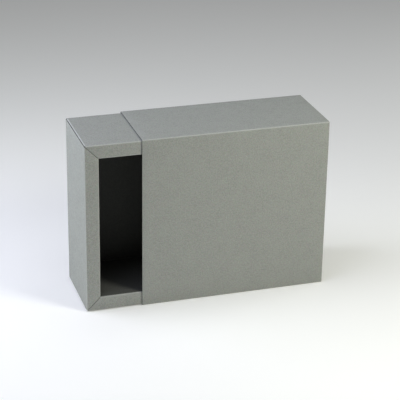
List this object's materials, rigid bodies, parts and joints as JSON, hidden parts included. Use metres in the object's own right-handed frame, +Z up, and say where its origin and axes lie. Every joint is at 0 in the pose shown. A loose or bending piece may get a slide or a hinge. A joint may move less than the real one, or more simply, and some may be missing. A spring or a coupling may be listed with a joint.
{
  "type": "slide box",
  "caption": "Archival slide box of folded grey board: an open-ended sleeve and a black-lined tray with hollow double walls that slides out sideways.",
  "frame": {"origin": "centre of the sleeve's bottom face, which the box stands on", "axes": "+X along the slide (the tray is drawn out towards -X), -Y the front that the tray opens to, +Z up"},
  "size_m": [0.2175, 0.0724, 0.155],
  "materials": {
    "grey_board": "matte",
    "black_card": "matte",
    "dried_adhesive": "satin"
  },
  "bodies": {
    "sleeve": {"sleeve_back_panel": "grey_board", "sleeve_bottom_panel": "grey_board", "sleeve_front_panel": "grey_board", "sleeve_glue_flap": "grey_board", "sleeve_seam_adhesive": "dried_adhesive", "sleeve_top_panel": "grey_board"},
    "tray": {"lining_bottom_wall": "black_card", "lining_floor": "black_card", "lining_left_wall": "black_card", "lining_right_wall": "black_card", "lining_top_wall": "black_card", "tray_base_panel": "grey_board", "tray_bottom_foot_adhesive": "dried_adhesive", "tray_bottom_foot_flap": "grey_board", "tray_bottom_inner_wall": "grey_board", "tray_bottom_left_corner_tab": "grey_board", "tray_bottom_outer_wall": "grey_board", "tray_bottom_right_corner_tab": "grey_board", "tray_bottom_rim": "grey_board", "tray_left_foot_adhesive": "dried_adhesive", "tray_left_foot_flap": "grey_board", "tray_left_inner_wall": "grey_board", "tray_left_outer_wall": "grey_board", "tray_left_rim": "grey_board", "tray_right_foot_adhesive": "dried_adhesive", "tray_right_foot_flap": "grey_board", "tray_right_inner_wall": "grey_board", "tray_right_outer_wall": "grey_board", "tray_right_rim": "grey_board", "tray_top_foot_adhesive": "dried_adhesive", "tray_top_foot_flap": "grey_board", "tray_top_inner_wall": "grey_board", "tray_top_left_corner_tab": "grey_board", "tray_top_outer_wall": "grey_board", "tray_top_right_corner_tab": "grey_board", "tray_top_rim": "grey_board"}
  },
  "joints": [
    {"name": "tray_slide", "type": "slide", "parent": "sleeve", "child": "tray", "axis": [-1, 0, 0], "range_m": [-0.2235, 0.1235]}
  ]
}
